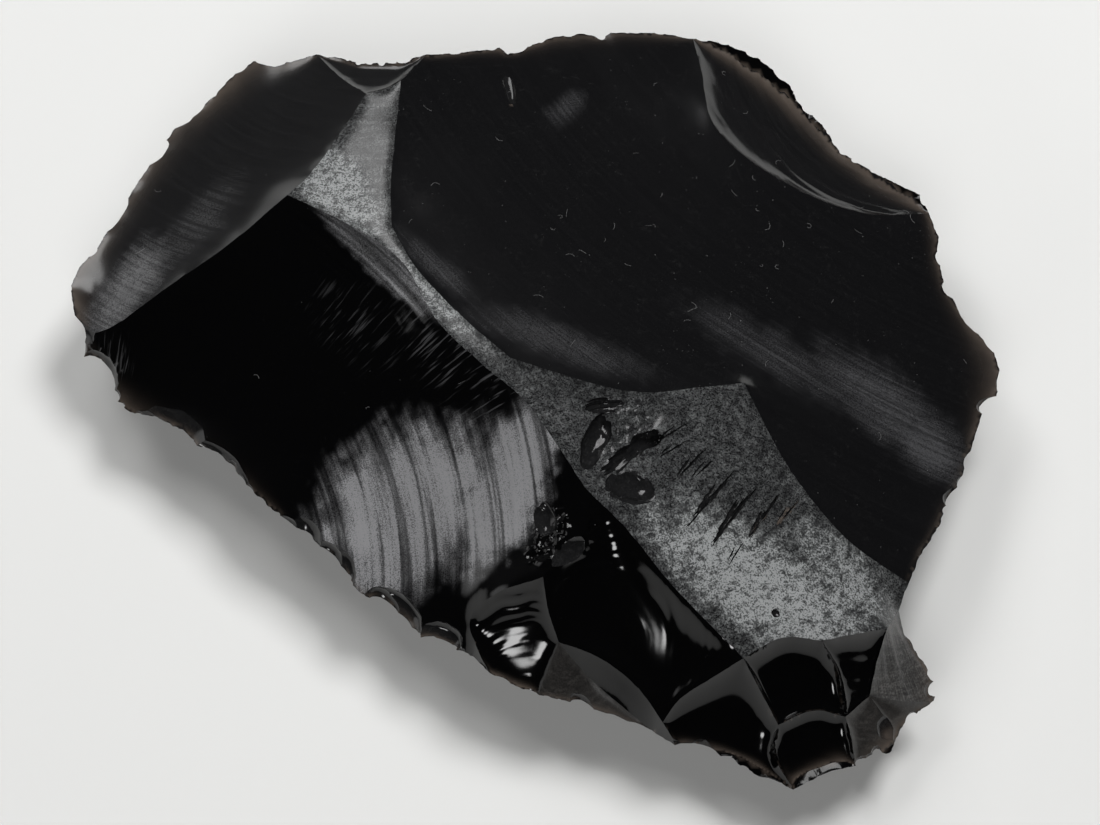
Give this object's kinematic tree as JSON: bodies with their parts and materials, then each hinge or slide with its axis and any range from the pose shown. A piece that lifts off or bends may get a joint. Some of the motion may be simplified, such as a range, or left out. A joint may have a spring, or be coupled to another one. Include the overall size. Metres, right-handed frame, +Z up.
{
  "type": "obsidian chunk",
  "caption": "Hand-sized chunk of black volcanic glass with curved conchoidal fracture faces, sharp ridges and thin chipped edges.",
  "frame": {"origin": "middle of the chunk's footprint, at the height of the flat underside face that it rests on", "axes": "+X along the chunk's length, +Y across it towards the back, +Z up, away from the resting face"},
  "size_m": [0.094, 0.081, 0.021],
  "materials": {
    "obsidian": "black volcanic glass, glossy on fresh fractures and satin to frosted on the older faces"
  },
  "bodies": {
    "root": {"obsidian_chunk": "obsidian"}
  },
  "joints": []
}
